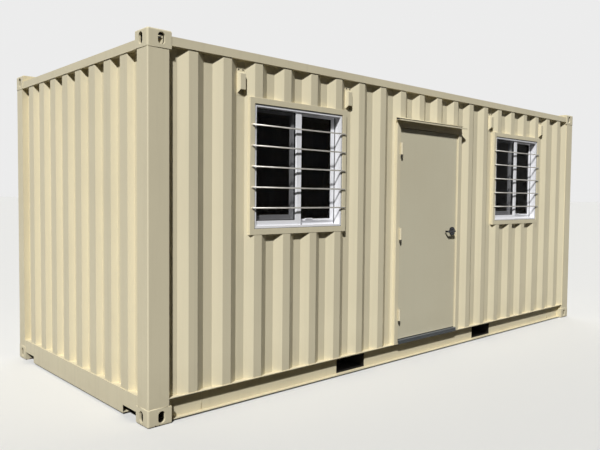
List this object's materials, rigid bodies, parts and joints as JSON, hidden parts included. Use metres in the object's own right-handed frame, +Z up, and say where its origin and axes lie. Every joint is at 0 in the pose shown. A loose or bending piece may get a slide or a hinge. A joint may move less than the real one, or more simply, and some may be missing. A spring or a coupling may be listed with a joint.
{
  "type": "shipping container cabin",
  "caption": "Steel shipping container cabin, cream, with a door and barred sliding windows in one long side.",
  "frame": {"origin": "on the ground, midway between the four slots in the bottom corner castings", "axes": "+X along the container to the cargo doors, +Y from the door side to the plain side, +Z up"},
  "size_m": [6.078, 2.486, 2.591],
  "materials": {
    "cream_paint": "satin",
    "plywood": "matte",
    "white_aluminium": "satin",
    "glass": "polished",
    "mill_aluminium": "satin",
    "dark_chrome": "polished",
    "steel": "satin"
  },
  "bodies": {
    "cabin": {"bottom_corner_castings": "cream_paint", "top_corner_castings": "cream_paint", "left_end_posts": "cream_paint", "right_end_posts": "cream_paint", "front_bottom_rail": "cream_paint", "back_bottom_rail": "cream_paint", "left_bottom_rail": "cream_paint", "cargo_door_sill": "cream_paint", "top_side_rails": "cream_paint", "left_top_rail": "cream_paint", "cargo_door_header": "cream_paint", "floor_cross_members": "cream_paint", "fork_pockets": "cream_paint", "roof": "cream_paint", "roof_end_plates": "cream_paint", "left_end_wall": "cream_paint", "back_wall": "cream_paint", "front_wall_left": "cream_paint", "front_wall_left_of_door": "cream_paint", "front_wall_right_of_door": "cream_paint", "front_wall_right": "cream_paint", "front_wall_under_windows": "cream_paint", "front_wall_over_windows": "cream_paint", "front_wall_over_door": "cream_paint", "window_surrounds": "cream_paint", "vent_hoods": "cream_paint", "door_jambs": "cream_paint", "door_header": "cream_paint", "door_stops": "cream_paint", "drip_cap": "cream_paint", "frame_hinge_halves": "cream_paint", "cargo_door_left": "cream_paint", "cargo_door_right": "cream_paint", "cargo_hinge_blades": "cream_paint", "cargo_hinge_lugs": "cream_paint", "floor": "plywood", "window_casings": "white_aluminium", "left_sashes": "white_aluminium", "right_sashes": "white_aluminium", "window_glass": "glass", "door_threshold": "mill_aluminium", "cargo_lock_rods": "steel", "cargo_rod_guides": "steel", "cargo_cam_keepers": "steel", "cargo_handles": "steel", "cargo_handle_catches": "steel"},
    "door": {"door_leaf": "cream_paint", "leaf_hinge_halves": "cream_paint", "handle_roses": "dark_chrome", "lock_face_plate": "steel"},
    "lever": {"lever_handle": "dark_chrome"}
  },
  "joints": [
    {"name": "door_hinge", "type": "hinge", "parent": "cabin", "child": "door", "pos_m": [-0.461, -1.226, 1.185], "axis": [0, 0, -1], "range_deg": [0, 170]},
    {"name": "lever_turn", "type": "hinge", "parent": "door", "child": "lever", "pos_m": [0.3915, -1.199, 1.19], "axis": [0, -1, 0], "range_deg": [0, 45], "stiffness_Nm_per_rad": 1.5}
  ]
}
